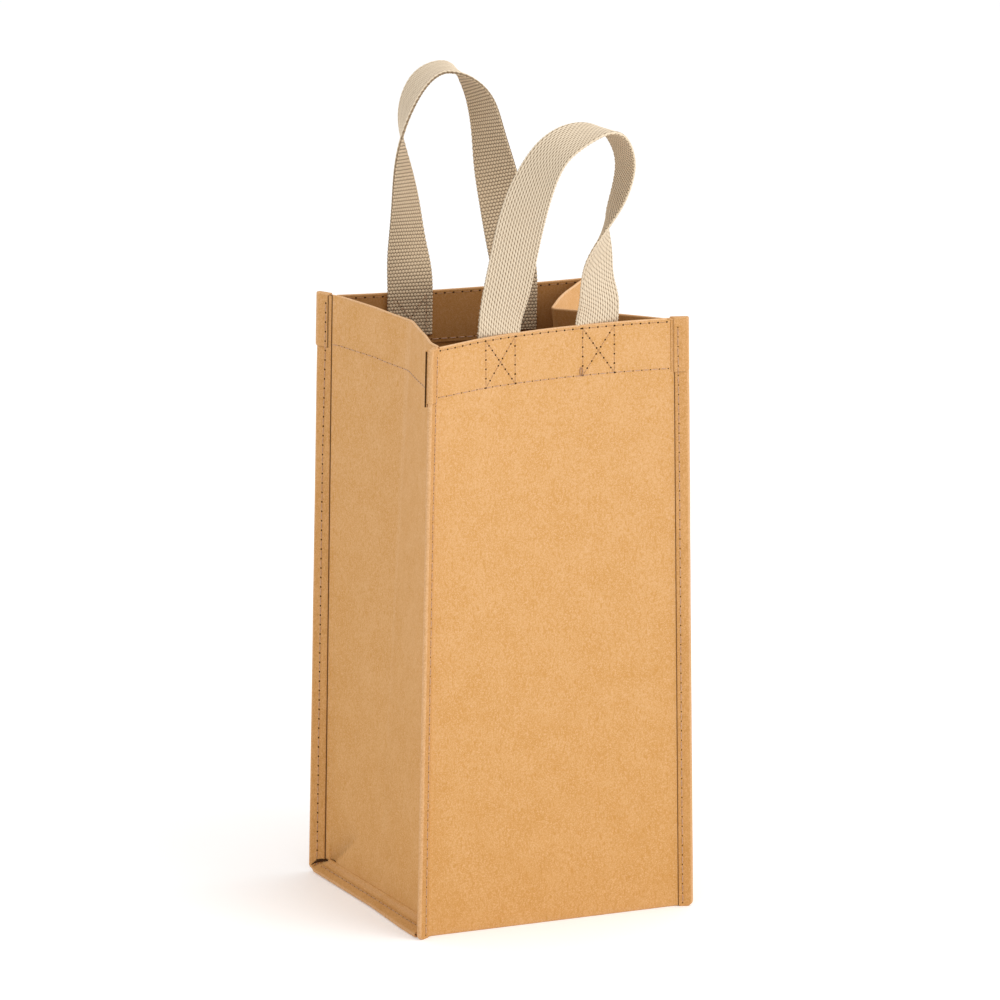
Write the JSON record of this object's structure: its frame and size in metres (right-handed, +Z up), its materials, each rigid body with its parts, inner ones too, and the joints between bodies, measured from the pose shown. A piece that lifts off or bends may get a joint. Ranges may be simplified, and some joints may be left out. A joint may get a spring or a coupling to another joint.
{
  "type": "wine gift bag",
  "caption": "Tall open wine gift bag of sewn kraft sheet with pleated side gussets, bound seams and two webbing loop handles that swing over the rim.",
  "frame": {"origin": "middle of the base on the surface the bag stands on", "axes": "+X to the bag's right, +Y from the front panel to the back panel, +Z up towards the mouth"},
  "size_m": [0.1641, 0.1974, 0.4504],
  "materials": {
    "kraft_sheet": "matte, fine fibre mottling",
    "binding_tape": "matte, folded edge",
    "webbing": "matte ribbed weave",
    "thread": "matte twisted thread"
  },
  "bodies": {
    "base": {"bottom_panel": "kraft_sheet", "left_bottom_binding": "binding_tape", "left_bottom_binding_stitching": "thread", "left_gusset_bottom_allowance": "kraft_sheet", "left_gusset_front_half": "kraft_sheet", "left_gusset_front_hem": "kraft_sheet", "left_gusset_hem_stitching": "thread", "left_gusset_rear_half": "kraft_sheet", "left_gusset_rear_hem": "kraft_sheet", "right_bottom_binding": "binding_tape", "right_bottom_binding_stitching": "thread", "right_gusset_bottom_allowance": "kraft_sheet", "right_gusset_front_half": "kraft_sheet", "right_gusset_front_hem": "kraft_sheet", "right_gusset_hem_stitching": "thread", "right_gusset_rear_half": "kraft_sheet", "right_gusset_rear_hem": "kraft_sheet"},
    "front_panel": {"front_handle_left_end": "webbing", "front_handle_right_end": "webbing", "front_hem": "kraft_sheet", "front_hem_stitching": "thread", "front_left_binding": "binding_tape", "front_left_binding_stitching": "thread", "front_left_cap": "binding_tape", "front_left_gusset_allowance": "kraft_sheet", "front_left_stitch_box": "thread", "front_panel": "kraft_sheet", "front_right_binding": "binding_tape", "front_right_binding_stitching": "thread", "front_right_cap": "binding_tape", "front_right_gusset_allowance": "kraft_sheet", "front_right_stitch_box": "thread", "front_rim_stitching": "thread"},
    "back_panel": {"back_handle_left_end": "webbing", "back_handle_right_end": "webbing", "back_hem": "kraft_sheet", "back_hem_stitching": "thread", "back_left_stitch_box": "thread", "back_panel": "kraft_sheet", "back_right_stitch_box": "thread", "back_rim_stitching": "thread", "rear_left_binding": "binding_tape", "rear_left_binding_stitching": "thread", "rear_left_cap": "binding_tape", "rear_left_gusset_allowance": "kraft_sheet", "rear_right_binding": "binding_tape", "rear_right_binding_stitching": "thread", "rear_right_cap": "binding_tape", "rear_right_gusset_allowance": "kraft_sheet"},
    "front_handle": {"front_handle_loop": "webbing"},
    "back_handle": {"back_handle_loop": "webbing"}
  },
  "joints": [
    {"name": "front_panel_tilt", "type": "hinge", "parent": "base", "child": "front_panel", "pos_m": [0, -0.069, 0], "axis": [-1, 0, 0], "range_deg": [-1, 2], "deforming": ["left_gusset_front_half", "left_gusset_front_hem", "left_gusset_hem_stitching", "right_gusset_front_half", "right_gusset_front_hem", "right_gusset_hem_stitching"]},
    {"name": "back_panel_tilt", "type": "hinge", "parent": "base", "child": "back_panel", "pos_m": [0, 0.069, 0], "axis": [1, 0, 0], "range_deg": [-1, 2], "deforming": ["left_gusset_hem_stitching", "left_gusset_rear_half", "left_gusset_rear_hem", "right_gusset_hem_stitching", "right_gusset_rear_half", "right_gusset_rear_hem"]},
    {"name": "front_handle_swing", "type": "hinge", "parent": "front_panel", "child": "front_handle", "pos_m": [0.0007, -0.06314, 0.3303], "axis": [1, 0, 0], "range_deg": [-28, 146]},
    {"name": "back_handle_swing", "type": "hinge", "parent": "back_panel", "child": "back_handle", "pos_m": [-0.00327, 0.04529, 0.3303], "axis": [-0.979, 0.2038, 0], "range_deg": [-22, 152]}
  ]
}
